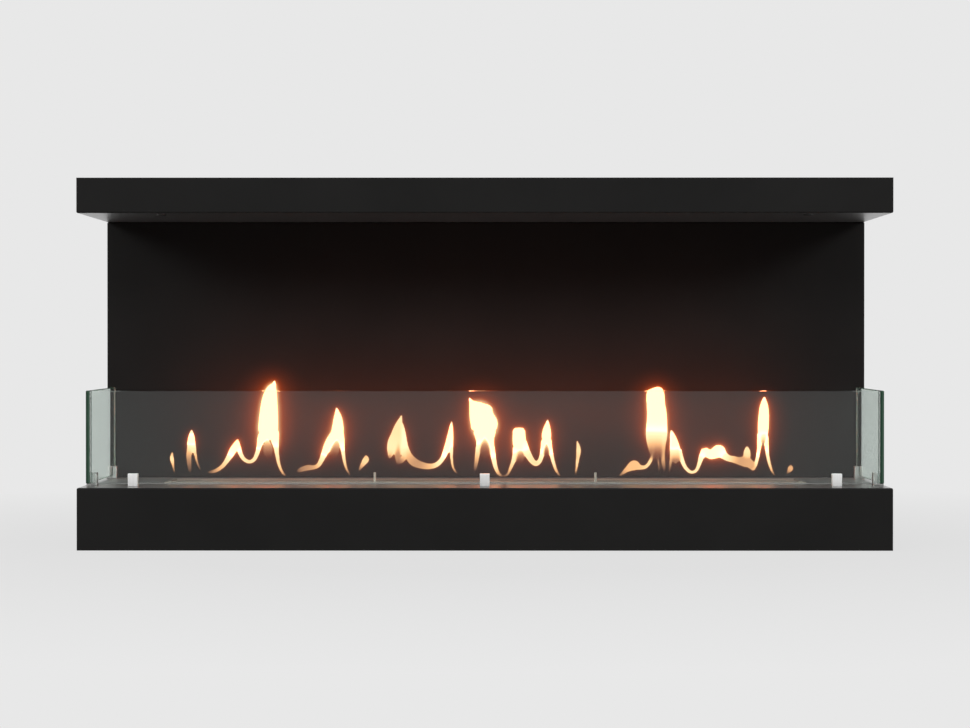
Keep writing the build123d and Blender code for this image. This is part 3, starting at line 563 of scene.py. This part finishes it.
# Each flame is a set of strokes. A stroke's points are the photograph's x and y, the half
# width there in pixels, and the heat, from 0 for unseen to 1 for the white core.
FLAME_STROKES = [
    [(172.2, 452.5, 0.8, 0.6), (172.0, 458.5, 2.0, 0.85), (173.2, 465, 1.3, 0.6), (174.3, 472, 0.7, 0.2)],
    [(191.4, 430.2, 1.0, 0.9), (191.3, 437, 3.2, 1.0), (191.2, 444, 4.1, 1.0), (191.4, 450, 4.0, 0.8)],
    [(190.0, 447, 3.0, 0.85), (189.0, 455, 2.6, 0.52), (189.2, 463, 2.2, 0.32), (190, 472, 1.5, 0.12)],
    [(193.6, 446, 2.2, 0.95), (195.2, 454, 1.5, 0.72), (197, 462, 1.1, 0.42), (200.5, 470.5, 0.8, 0.12)],
    [(208, 472.3, 1.2, 0.15), (214, 471.3, 1.7, 0.4), (219.5, 468.5, 2.0, 0.6), (224.3, 464, 2.2, 0.75),
     (229.3, 456.5, 3.0, 0.95), (233, 450, 3.6, 1.0), (236.2, 444, 2.8, 1.0), (237.4, 439.8, 1.0, 1.0)],
    [(234.0, 449, 3.4, 1.0), (236.6, 444, 3.2, 1.0), (237.2, 442, 2.4, 1.0)],
    [(237.4, 441, 1.0, 1.0), (238.5, 447, 2.2, 1.0), (240.3, 453.5, 2.3, 0.95), (244, 459.3, 2.0, 0.85),
     (249.3, 461.8, 1.9, 0.8), (254, 459.5, 2.0, 0.85), (257, 453.5, 2.2, 0.9), (259.2, 446, 2.6, 1.0),
     (261.5, 438, 4.0, 1.0), (264, 430, 3.0, 1.0)],
    [(274.4, 380.6, 0.7, 0.9), (273.8, 384, 2.2, 1.0), (271.4, 390, 5.6, 1.0), (269.9, 400.5, 8.0, 1.0),
     (269.1, 415, 9.4, 1.0), (268.5, 427, 10.0, 1.0), (268.3, 433, 9.0, 1.0), (267.8, 437.5, 4.0, 1.0)],
    [(267.5, 439, 1.0, 0.88), (267.5, 442.5, 2.6, 0.7), (267.6, 446.5, 4.2, 0.46), (267.8, 451, 4.6, 0.24),
     (267.8, 456, 3.6, 0.08)],
    [(274.6, 432, 4.6, 1.0), (274.9, 439, 4.2, 1.0), (276.0, 446, 2.9, 0.97), (277.2, 456, 2.0, 0.85),
     (279.0, 465, 1.6, 0.75), (282.3, 472.5, 1.3, 0.5), (285.6, 475.8, 1.0, 0.15)],
    [(297.5, 471.3, 1.5, 0.15), (302, 469.3, 2.4, 0.35), (308, 467.6, 2.8, 0.42), (314, 467.3, 2.2, 0.5),
     (318.5, 465, 2.2, 0.7), (321.8, 459.5, 2.6, 0.85), (324.7, 453, 3.2, 1.0), (328.3, 446, 4.5, 1.0),
     (331.8, 439, 4.6, 1.0), (335, 431, 3.0, 1.0)],
    [(336.3, 407.5, 0.7, 0.9), (337.1, 412, 2.3, 1.0), (337.8, 418, 4.2, 1.0), (337.9, 426, 5.6, 1.0),
     (337.3, 433, 6.0, 1.0), (336.6, 438.5, 3.6, 1.0)],
    [(337.0, 440, 1.0, 0.88), (336.4, 444, 2.6, 0.65), (335.4, 448.5, 3.8, 0.38), (334.4, 453, 4.0, 0.16),
     (333.4, 457, 3.0, 0.06)],
    [(340.2, 433, 3.7, 1.0), (341.4, 440, 3.2, 1.0), (342.3, 447, 2.4, 0.98), (343.1, 452, 2.0, 0.95),
     (344.3, 460.5, 1.6, 0.8), (346.3, 468, 1.3, 0.55), (349.6, 474.5, 0.9, 0.15)],
    [(366, 455.8, 1.3, 0.5), (366, 459.3, 3.2, 0.75), (363.5, 463.3, 2.5, 0.7), (361, 467, 1.6, 0.45),
     (359, 470.6, 0.9, 0.15)],
    [(401.5, 415.3, 0.7, 0.8), (400.3, 420, 2.2, 0.84), (398.5, 427, 4.4, 0.82), (396.8, 435, 6.0, 0.82),
     (394.5, 443, 7.0, 0.85), (392, 449, 5.4, 0.85), (390.6, 453.5, 3.2, 0.65), (389.8, 457, 1.8, 0.25)],
    [(401.5, 424, 2.0, 0.9), (402.5, 432, 3.0, 0.95), (403.6, 441, 3.4, 0.95), (404.0, 449, 4.4, 0.9),
     (404.5, 456, 3.0, 0.7), (401, 462, 2.0, 0.3)],
    [(398.2, 440, 1.2, 0.7), (398, 445, 2.2, 0.52), (397.4, 452, 3.0, 0.44), (397.6, 459.5, 2.3, 0.34),
     (397.8, 464, 1.2, 0.12)],
    [(405.3, 447, 3.0, 0.95), (408.3, 455, 3.4, 0.64), (412.8, 461.3, 4.2, 0.46), (420.5, 465, 3.6, 0.45),
     (429.8, 466.4, 2.8, 0.62), (437.3, 464.2, 2.5, 0.85), (442.6, 458.3, 2.4, 0.95),
     (446.3, 450, 3.0, 1.0), (448.8, 443, 3.4, 1.0)],
    [(451.7, 421.3, 0.7, 0.9), (451.3, 426, 1.7, 1.0), (450.8, 432, 2.6, 1.0), (450, 439, 3.6, 1.0),
     (448.8, 445, 3.6, 1.0)],
    [(451.3, 437, 2.0, 1.0), (451.4, 447, 1.9, 0.95), (451.5, 456, 1.5, 0.85), (452.3, 464, 1.3, 0.7),
     (454.2, 469.8, 1.1, 0.45), (457.2, 473.4, 0.8, 0.12)],
    [(469.0, 397.6, 0.7, 0.9), (470.8, 401, 2.0, 1.0), (475, 406, 5.0, 1.0)],
    [(481, 406.5, 3.0, 1.0), (487, 407.3, 3.2, 1.0), (490, 410.5, 3.5, 1.0)],
    [(477.5, 405, 5.0, 1.0), (481.5, 411.5, 10.0, 1.0), (482.8, 418, 12.3, 1.0), (484.4, 425, 13.6, 1.0),
     (484.9, 431, 10.5, 1.0), (484.7, 434.5, 4.5, 1.0)],
    [(484.5, 436, 0.9, 0.85), (484.7, 440, 2.2, 0.62), (484.9, 445, 3.8, 0.38), (485, 450, 4.6, 0.2),
     (485, 455, 4.0, 0.08)],
    [(470.2, 399.5, 1.2, 1.0), (471.4, 408, 2.2, 1.0), (472.6, 417, 3.0, 1.0), (474.8, 428, 3.6, 1.0)],
    [(478, 431, 5.0, 1.0), (479.4, 437, 4.3, 1.0), (479.2, 443, 3.0, 0.97), (478, 449, 2.6, 0.9),
     (477, 457, 2.3, 0.65), (476, 464, 1.9, 0.4), (474.8, 470.5, 1.3, 0.12)],
    [(491, 431, 5.0, 1.0), (490, 437, 4.5, 1.0), (490.7, 443, 3.5, 1.0), (492.2, 450, 2.9, 1.0),
     (493.8, 459, 2.5, 0.95), (495.6, 467, 2.1, 0.85), (498.6, 473.5, 1.6, 0.5), (503, 476.3, 1.0, 0.15)],
    [(503, 476.3, 1.0, 0.15), (507.5, 474.3, 1.2, 0.35), (510.2, 468.7, 1.6, 0.65),
     (513.2, 461.5, 2.2, 0.85), (515.6, 454.5, 3.2, 0.95), (516.2, 448, 3.6, 1.0)],
    [(514.8, 430.3, 2.4, 1.0), (518.7, 429.8, 2.4, 1.0), (522.8, 430.2, 2.5, 1.0)],
    [(514.9, 431, 2.4, 1.0), (515.2, 441, 2.8, 1.0)],
    [(522.8, 431, 2.4, 1.0), (523.1, 441, 3.0, 1.0)],
    [(518.8, 436, 6.0, 1.0), (518.9, 440, 6.2, 1.0), (519.2, 444, 6.4, 1.0), (519.5, 448.5, 4.0, 1.0)],
    [(519.6, 450, 1.0, 0.85), (519.8, 453, 3.0, 0.6), (519.8, 457, 4.5, 0.25), (519.8, 461, 3.5, 0.08)],
    [(523.5, 442, 3.4, 1.0), (525.6, 449.5, 3.8, 0.97), (529.7, 457.3, 3.2, 0.85), (533, 461.8, 2.8, 0.8),
     (536.4, 463.6, 2.5, 0.8), (539.6, 461, 2.3, 0.85), (541.8, 455, 2.3, 0.95), (543.2, 447.5, 2.7, 1.0),
     (544.5, 441, 3.5, 1.0)],
    [(547.6, 419.8, 0.7, 0.9), (547.4, 424, 2.2, 1.0), (546.8, 430, 4.0, 1.0), (546.4, 437, 4.8, 1.0),
     (546.3, 441, 2.8, 1.0)],
    [(546.3, 443.5, 0.8, 0.85), (546.3, 447, 2.0, 0.5), (546.3, 451, 2.8, 0.2), (546.3, 455, 2.4, 0.07)],
    [(548.6, 440, 3.0, 1.0), (550, 448, 2.4, 1.0), (551.8, 456, 2.0, 0.95), (553.9, 464, 1.7, 0.85),
     (556.5, 471, 1.4, 0.55), (560, 475.8, 0.9, 0.15)],
    [(577.2, 441.3, 0.7, 0.85), (578.2, 446, 1.8, 0.82), (578.6, 451, 2.4, 0.82), (577.9, 457, 1.9, 0.74),
     (577, 464, 1.4, 0.8), (576.1, 470, 1.1, 0.5), (575.5, 475, 0.7, 0.15)],
    [(619.5, 475.8, 0.9, 0.15), (623.5, 472.5, 1.7, 0.45), (628, 468.8, 3.0, 0.6),
     (634.2, 465.4, 5.2, 0.62), (640, 467.2, 2.6, 0.65), (645.8, 466.6, 1.8, 0.75),
     (650.3, 460.8, 1.8, 0.8), (652.6, 453.5, 2.0, 0.8), (653.6, 446, 2.6, 0.85)],
    [(648.7, 392.2, 2.4, 1.0), (653, 391.0, 2.8, 1.0), (658.2, 389.8, 3.1, 1.0), (661.4, 391.4, 3.0, 1.0)],
    [(648.8, 393, 2.5, 1.0), (648.6, 402, 2.5, 1.0)],
    [(655, 393.5, 4.5, 1.0), (655.3, 400, 6.0, 1.0)],
    [(661.8, 393, 2.8, 1.0), (662.4, 402, 2.8, 1.0)],
    [(655.5, 399.5, 9.0, 1.0), (655.8, 405, 9.4, 1.0), (656.8, 414, 9.8, 1.0), (656.6, 426, 10.5, 1.0),
     (656.3, 434, 10.8, 0.95), (656.2, 441, 10.0, 0.7), (656.2, 447, 8.5, 0.35), (656.3, 454, 6.5, 0.1)],
    [(662.5, 437, 3.6, 1.0), (662.6, 446, 2.8, 0.85), (662.6, 455, 2.3, 0.65), (663.3, 463, 1.9, 0.4),
     (664.2, 470, 1.2, 0.12)],
    [(657.2, 444, 1.8, 0.8), (657.6, 453, 1.3, 0.6), (658.3, 462, 1.1, 0.4), (659.3, 470, 0.9, 0.12)],
    [(670.9, 429.8, 0.8, 0.9), (672, 435, 2.6, 1.0), (673.6, 442, 4.2, 1.0), (674.8, 449, 5.2, 1.0),
     (675.6, 455, 5.2, 0.7), (675.5, 460, 4.2, 0.25)],
    [(671.3, 449, 2.0, 0.95), (671.2, 457, 1.7, 0.7), (670.2, 465, 1.3, 0.35), (669.3, 471, 0.9, 0.12)],
    [(679, 450, 2.5, 1.0), (681.2, 458, 2.3, 0.95), (684.2, 465.5, 2.0, 0.9), (688.3, 470.6, 1.8, 0.85),
     (692, 472.1, 1.6, 0.85), (696, 470.3, 1.7, 0.85), (698.8, 464.3, 2.0, 0.9), (701, 457.5, 2.7, 0.95),
     (704.3, 452, 4.0, 1.0)],
    [(704.5, 450.8, 3.8, 1.0), (710, 454.2, 4.6, 1.0), (714.5, 453, 5.5, 1.0), (719, 451, 6.3, 1.0),
     (723, 454.6, 4.2, 0.95), (728, 458, 3.3, 0.85), (734, 459.4, 3.4, 0.66), (739.5, 461, 4.0, 0.48),
     (745, 461.5, 5.5, 0.5), (749.5, 463.5, 4.5, 0.52), (752.8, 467.2, 3.2, 0.5)],
    [(747, 447.3, 1.6, 0.8), (747.2, 451.5, 3.3, 0.85), (746.8, 457, 3.8, 0.72)],
    [(752.8, 469.3, 1.9, 0.6), (755.3, 465, 1.9, 0.85), (757.4, 458, 1.8, 0.95), (759, 449, 2.0, 1.0),
     (760.2, 440, 3.0, 1.0), (760.8, 434, 3.4, 1.0)],
    [(763.6, 396.6, 0.8, 0.9), (763.5, 400.5, 2.5, 1.0), (763.5, 407, 4.4, 1.0), (763.5, 415, 5.2, 1.0),
     (763.3, 424, 5.5, 1.0), (763.2, 431, 5.3, 1.0), (763.1, 436, 4.2, 0.9), (763, 440, 2.6, 0.6),
     (762.9, 444, 1.4, 0.2)],
    [(766.3, 436, 2.3, 1.0), (766.7, 445, 2.1, 1.0), (767.5, 454, 1.8, 0.95), (769, 462, 1.6, 0.85),
     (771.3, 469.5, 1.3, 0.6), (774.2, 475, 0.9, 0.15)],
    [(790.9, 465.6, 1.4, 0.4), (790.5, 468.3, 2.8, 0.55), (788.8, 471, 1.8, 0.4), (787, 473.3, 0.9, 0.1)],
]


def sway(x, z):
    """How far the fire leans to the rear at a place."""
    rise = np.clip((z - SLOT_FLOOR_Z) / SWAY_HEIGHT, 0, SWAY_MOST_SHARE)
    waves = sum(share * np.sin(across * x + up * z + start) for share, across, up, start in SWAY_WAVES)
    return FLAME_SWAY * rise * waves


def smooth_line(points):
    """A Catmull-Rom line through the points, in steps of about FLAME_STEP."""
    points = np.array(points, float)
    padded = np.vstack([2 * points[0] - points[1], points, 2 * points[-1] - points[-2]])
    line = []
    for i in range(len(points) - 1):
        a, b, c, d = padded[i:i + 4]
        span = np.hypot(*(c - b)[:2])
        steps = max(2, int(span / FLAME_STEP))
        for t in np.arange(steps) / steps:
            line.append(0.5 * (2 * b + (c - a) * t + (2 * a - 5 * b + 4 * c - d) * t**2
                               + (3 * b - a - 3 * c + d) * t**3))
    line.append(points[-1])
    return np.array(line)


def flame_line(stroke):
    """A stroke as rows of x, z, half width and heat, in metres, at the slot's depth."""
    rows = []
    for x, y, half_width, heat in stroke:
        rows.append((
            CAMERA.x + (x - VANISHING_POINT[0]) * FLAME_PIXEL,
            CAMERA.z - (y - VANISHING_POINT[1]) * FLAME_PIXEL,
            half_width * FLAME_PIXEL,
            heat,
        ))
    line = smooth_line(rows)
    line[:, 2] = np.maximum(line[:, 2], FLAME_LEAST_WIDTH)
    line[:, 3] = np.clip(line[:, 3], 0, 1)
    return line


def flame_tube(line, grow):
    """Rings of points round a line, closed by a point at each end."""
    tangent = np.gradient(line[:, :2], axis=0)
    tangent /= np.linalg.norm(tangent, axis=1)[:, None]
    radius = line[:, 2] + grow
    depth = np.minimum(line[:, 2] * FLAME_DEPTH_SHARE, FLAME_MOST_DEPTH) + grow
    middle = np.column_stack([line[:, 0], SLOT_Y + sway(line[:, 0], line[:, 1]), line[:, 1]])
    angle = np.arange(FLAME_SIDES) * 2 * math.pi / FLAME_SIDES
    across = np.column_stack([tangent[:, 1], np.zeros(len(line)), -tangent[:, 0]])
    rings = (middle[:, None] + across[:, None] * (radius[:, None] * np.cos(angle))[:, :, None]
             + np.array([0, 1, 0]) * (depth[:, None] * np.sin(angle))[:, :, None])
    along = np.column_stack([tangent[:, 0], np.zeros(len(line)), tangent[:, 1]])
    caps = middle[0] - along[0] * radius[0], middle[-1] + along[-1] * radius[-1]
    points = np.vstack([rings.reshape(-1, 3), caps])
    faces = []
    for row in range(len(line) - 1):
        for side in range(FLAME_SIDES):
            a = row * FLAME_SIDES + side
            b = row * FLAME_SIDES + (side + 1) % FLAME_SIDES
            faces.append((a, a + FLAME_SIDES, b + FLAME_SIDES, b))
    first, last = len(points) - 2, len(points) - 1
    end = (len(line) - 1) * FLAME_SIDES
    for side in range(FLAME_SIDES):
        after = (side + 1) % FLAME_SIDES
        faces.append((first, side, after))
        faces.append((last, end + after, end + side))
    return points, faces


def heat_at(places, lines):
    """Heat at each place, from the strokes near it."""
    samples = np.vstack([line[::2] for line in lines])
    heat = np.zeros(len(places))
    for start in range(0, len(places), HEAT_BLOCK):
        block = places[start:start + HEAT_BLOCK]
        across = block[:, None, 0] - samples[None, :, 0]
        up = block[:, None, 2] - samples[None, :, 1]
        near = (across**2 + up**2) / samples[None, :, 2] ** 2
        nearest = near.min(axis=1)[:, None]
        weight = np.exp(-HEAT_FALL * (near - nearest)) * samples[None, :, 2]
        total = (weight * samples[None, :, 3]).sum(axis=1)
        heat[start:start + HEAT_BLOCK] = total / weight.sum(axis=1)
    return heat


def joined_tubes(lines, grow):
    """The tubes of all lines, grown by a distance, in one list of points and one of faces."""
    points, faces = [], []
    for line in lines:
        tube, around = flame_tube(line, grow)
        offset = len(points)
        points += tube.tolist()
        faces += [tuple(i + offset for i in face) for face in around]
    return points, faces


def carry_burn(mesh, amounts):
    """Writes an amount of fire on each of a mesh's points, for its material to read."""
    mesh.attributes.new("burn", "FLOAT", "POINT").data.foreach_set("value", amounts.astype(np.float32))


def flame_body(name, lines, grow, voxel, material):
    """The flames grown by a distance, as one closed surface that carries its heat."""
    points, faces = joined_tubes(lines, grow)
    mesh = bpy.data.meshes.new(name)
    mesh.from_pydata(points, [], faces)
    mesh.update()
    body = bpy.data.objects.new(name, mesh)
    bpy.context.scene.collection.objects.link(body)
    remesh = body.modifiers.new("union", "REMESH")
    remesh.mode = "VOXEL"
    remesh.voxel_size = voxel
    soften = body.modifiers.new("soften", "SMOOTH")
    soften.factor = 0.5
    soften.iterations = 4
    graph = bpy.context.evaluated_depsgraph_get()
    final = bpy.data.meshes.new_from_object(body.evaluated_get(graph))
    body.modifiers.clear()
    body.data = final
    bpy.data.meshes.remove(mesh)
    final.name = name
    places = np.empty(len(final.vertices) * 3)
    final.vertices.foreach_get("co", places)
    carry_burn(final, heat_at(places.reshape(-1, 3), lines))
    final.polygons.foreach_set("use_smooth", [True] * len(final.polygons))
    final.materials.clear()
    final.materials.append(material)
    return body


def burn_amount(tree):
    """The amount of fire that a mesh carries."""
    return node(tree, "Attribute", attribute_name="burn").outputs["Fac"]


def finish_gas_and_painted_glow(material, colour, strength, opacity):
    """Makes a material glow, mixed with clear air by its opacity: the flames' glowing gas, and the painted
    glow round them.
    """
    tree = material.node_tree
    glow = node(tree, "Emission", {"Color": colour, "Strength": strength})
    clear = node(tree, "BsdfTransparent")
    mixed = node(tree, "MixShader", {0: opacity, 1: clear.outputs[0], 2: glow.outputs[0]})
    return finish_material(material, mixed.outputs[0])


def core_gas():
    """The flames' core: its colour, strength and opacity all follow the heat."""
    material = new_material("flame_core")
    tree = material.node_tree
    heat = burn_amount(tree)
    share = level_ramp(tree, heat, FIRE_STRENGTH_SHARES)
    strength = node(tree, "Math", {0: share, 1: FIRE_STRENGTH}, operation="MULTIPLY").outputs[0]
    colour = colour_ramp(tree, heat, FIRE_COLOURS)
    return finish_gas_and_painted_glow(material, colour, strength, level_ramp(tree, heat, FIRE_OPACITY))


def skin_gas():
    """The flames' soft skin, which lights nothing. Its opacity follows the heat."""
    material = new_material("flame_glow_1")
    tree = material.node_tree
    material.cycles.emission_sampling = "NONE"
    opacity = level_ramp(tree, burn_amount(tree), SKIN_OPACITY)
    return finish_gas_and_painted_glow(material, SKIN_COLOUR, SKIN_STRENGTH, opacity)


def painted_glow_material():
    """A painted glow round the flames, which lights nothing. Its colour and its opacity follow the haze.
    """
    material = new_material("flame_painted_glow")
    tree = material.node_tree
    material.cycles.emission_sampling = "NONE"
    amount = burn_amount(tree)
    colour = colour_ramp(tree, amount, [
        (0.00, 1.0, 0.12, 0.020),
        (0.25, 1.0, 0.14, 0.025),
        (0.45, 1.0, 0.26, 0.080),
        (0.70, 1.0, 0.50, 0.250),
    ])
    return finish_gas_and_painted_glow(material, colour, 1.0, amount)


def haze_grid(lines):
    """A fine grid over the fire, with the light that each of its points gives."""
    across = np.concatenate([line[:, 0] for line in lines])
    up = np.concatenate([line[:, 1] for line in lines])
    x = np.arange(across.min() - HAZE_REACH, across.max() + HAZE_REACH, HAZE_STEP)
    z = np.arange(HAZE_FOOT_Z, up.max() + HAZE_REACH, HAZE_STEP)
    light = np.zeros((len(z), len(x)))
    glare_x = [CAMERA.x + (place - VANISHING_POINT[0]) * FLAME_PIXEL for place, _ in GLARE]
    glare = [level for _, level in GLARE]
    heats = [heat for heat, _ in FIRE_STRENGTH_SHARES]
    strengths = [strength for _, strength in FIRE_STRENGTH_SHARES]
    for line in lines:
        for place, height, half_width, heat in line:
            reach = int(half_width / HAZE_STEP) + 1
            column = int((place - x[0]) / HAZE_STEP)
            row = int((height - z[0]) / HAZE_STEP)
            rows = slice(max(row - reach, 0), row + reach + 1)
            columns = slice(max(column - reach, 0), column + reach + 1)
            inside = (x[columns] - place) ** 2 + (z[rows, None] - height) ** 2 <= half_width**2
            share = np.interp(heat, heats, strengths) * np.interp(place, glare_x, glare)
            share *= np.sqrt(np.clip(half_width / (HAZE_FULL_WIDTH * FLAME_PIXEL), *HAZE_WIDTH_SHARES))
            light[rows, columns] = np.maximum(light[rows, columns], inside * share)
    return x, z, light


def spread_light(light):
    """The light spread out as haze, from 0 for none to 1 for full."""
    border = int(HAZE_BORDER / HAZE_STEP)
    padded = np.pad(light, border)
    rows, columns = padded.shape
    down = np.minimum(np.arange(rows), rows - np.arange(rows)) * HAZE_STEP
    along = np.minimum(np.arange(columns), columns - np.arange(columns)) * HAZE_STEP
    distance = np.hypot(down[:, None], along)
    spread = np.zeros(padded.shape)
    for size, weight in HAZE_SPREAD:
        fall = np.exp(-distance / size)
        spread += weight * fall / fall.sum()
    hazed = np.fft.irfft2(np.fft.rfft2(padded) * np.fft.rfft2(spread), s=padded.shape)
    return 1 - np.exp(-np.clip(hazed[border:-border, border:-border], 0, None))


def flame_painted_glow(lines):
    """The painted glow round the flames, as one sheet that leans with them."""
    x, z, light = haze_grid(lines)
    haze = spread_light(light)[::HAZE_STRIDE, ::HAZE_STRIDE]
    x, z = x[::HAZE_STRIDE], z[::HAZE_STRIDE]
    corner = np.maximum.reduce([haze[:-1, :-1], haze[1:, :-1], haze[:-1, 1:], haze[1:, 1:]])
    rows, columns = np.nonzero(corner > HAZE_LEAST)
    index = np.arange(haze.size).reshape(haze.shape)
    faces = np.column_stack([
        index[rows, columns],
        index[rows, columns + 1],
        index[rows + 1, columns + 1],
        index[rows + 1, columns],
    ])
    used, faces = np.unique(faces, return_inverse=True)
    grid_x, grid_z = np.meshgrid(x, z)
    lean = SLOT_Y + sway(grid_x.ravel(), grid_z.ravel())
    places = np.column_stack([grid_x.ravel(), lean, grid_z.ravel()])[used]
    mesh = bpy.data.meshes.new("flame_painted_glow")
    mesh.from_pydata(places.tolist(), [], faces.reshape(-1, 4).tolist())
    carry_burn(mesh, np.clip(haze.ravel()[used] - HAZE_LEAST, 0, 1))
    mesh.materials.append(painted_glow_material())
    body = bpy.data.objects.new("flame_painted_glow", mesh)
    bpy.context.scene.collection.objects.link(body)
    return body


def build_fire():
    """The flames over the slot: a core, the painted glow round it and its soft skin, which ride on the
    burner."""
    lines = [flame_line(stroke) for stroke in FLAME_STROKES]
    bodies = [
        flame_body("flames", lines, 0.0, FLAME_VOXEL, core_gas()),
        flame_painted_glow(lines),
        flame_body("flame_glow_1", lines, SKIN_REACH, SKIN_VOXEL, skin_gas()),
    ]
    for body in bodies:
        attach(body, "burner")
        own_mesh(body)


def make_world():
    """A pale room: bright behind the object, calmer in front of it, with its fill from above."""
    world = bpy.data.worlds.new("studio")
    bpy.context.scene.world = world
    world.use_nodes = True
    tree = world.node_tree
    tree.nodes.clear()
    direction = node(tree, "SeparateXYZ", {0: node(tree, "TexCoord").outputs["Generated"]}).outputs
    path = node(tree, "LightPath").outputs
    level = varied(tree, direction["Z"], ROOM_FILL_LOW, ROOM_FILL_HIGH, FILL_SPAN)
    mirrored = varied(tree, direction["Y"], ROOM_IN_FRONT, ROOM_BEHIND, DEPTH_SPAN)
    through = varied(tree, direction["Y"], ROOM_IN_FRONT, BEHIND_GLASS, DEPTH_SPAN)
    shown = {"Is Glossy Ray": mirrored, "Is Camera Ray": BACKGROUND, "Is Transmission Ray": through}
    for kind, seen in shown.items():
        level = node(tree, "Mix", {"Factor": path[kind], "A": level, "B": seen}).outputs["Result"]
    sky = node(tree, "Background", {"Color": (1, 1, 1, 1), "Strength": level})
    node(tree, "OutputWorld", {"Surface": sky.outputs[0]})


def floor_material():
    """Pale floor in the background's colour, which keeps a soft shadow near the object."""
    material = new_material("pale_floor")
    tree = material.node_tree
    flat = node(tree, "Emission", {"Color": (1, 1, 1, 1), "Strength": BACKGROUND})
    matt = node(tree, "BsdfDiffuse", {"Color": (FLOOR_TONE, FLOOR_TONE, FLOOR_TONE, 1)})
    place = node(tree, "TexCoord").outputs["Object"]
    away = node(tree, "VectorMath", {0: place}, operation="LENGTH").outputs["Value"]
    flatness = varied(tree, away, *FLOOR_FLAT_SHARES, FLOOR_SPAN)
    path = node(tree, "LightPath").outputs
    shown = path["Is Camera Ray"]
    for kind in ("Is Glossy Ray", "Is Transmission Ray"):
        shown = node(tree, "Math", {0: shown, 1: path[kind]}, operation="MAXIMUM").outputs[0]
    share = node(tree, "Math", {0: flatness, 1: shown}, operation="MULTIPLY").outputs[0]
    mixed = node(tree, "MixShader", {0: share, 1: matt.outputs[0], 2: flat.outputs[0]})
    return finish_material(material, mixed.outputs[0])


def lay_floor():
    ground = cad_low.z - FLOOR_DROP
    corners = [(x * FLOOR_REACH, y * FLOOR_REACH, ground) for x, y in ((-1, -1), (1, -1), (1, 1), (-1, 1))]
    mesh = bpy.data.meshes.new("floor")
    mesh.from_pydata(corners, [], [(0, 1, 2, 3)])
    mesh.materials.append(floor_material())
    floor = bpy.data.objects.new("floor", mesh)
    bpy.context.scene.collection.objects.link(floor)


def add_lamp(name, place, aim, size, power, colour):
    lamp = bpy.data.lights.new(name, "AREA")
    lamp.color = colour
    lamp.shape = "RECTANGLE"
    lamp.size, lamp.size_y = size
    lamp.energy = power
    box = bpy.data.objects.new(name, lamp)
    box.location = place
    box.rotation_euler = (Vector(aim) - Vector(place)).to_track_quat("-Z", "Y").to_euler()
    bpy.context.scene.collection.objects.link(box)


def place_camera():
    eye = bpy.data.cameras.new("camera")
    eye.sensor_width = SENSOR_WIDTH
    eye.lens = CAMERA_DISTANCE / PIXEL * SENSOR_WIDTH / PHOTO_SIZE[0]
    camera = bpy.data.objects.new("camera", eye)
    camera.location = CAMERA
    camera.rotation_euler = (AIM - CAMERA).to_track_quat("-Z", "Y").to_euler()
    bpy.context.scene.collection.objects.link(camera)
    bpy.context.scene.camera = camera


def set_render():
    """The plain view transform, and light paths long enough for the panes and the fire's sheets."""
    bpy.context.scene.view_settings.view_transform = "Standard"
    cycles = bpy.context.scene.cycles
    cycles.transparent_max_bounces = 48
    cycles.max_bounces = 24
    cycles.glossy_bounces = 16
    cycles.transmission_bounces = 16


dress_nodes()
dress_edges()
build_fire()
make_world()
lay_floor()
for lamp_row in LAMPS:
    add_lamp(*lamp_row)
place_camera()
set_render()
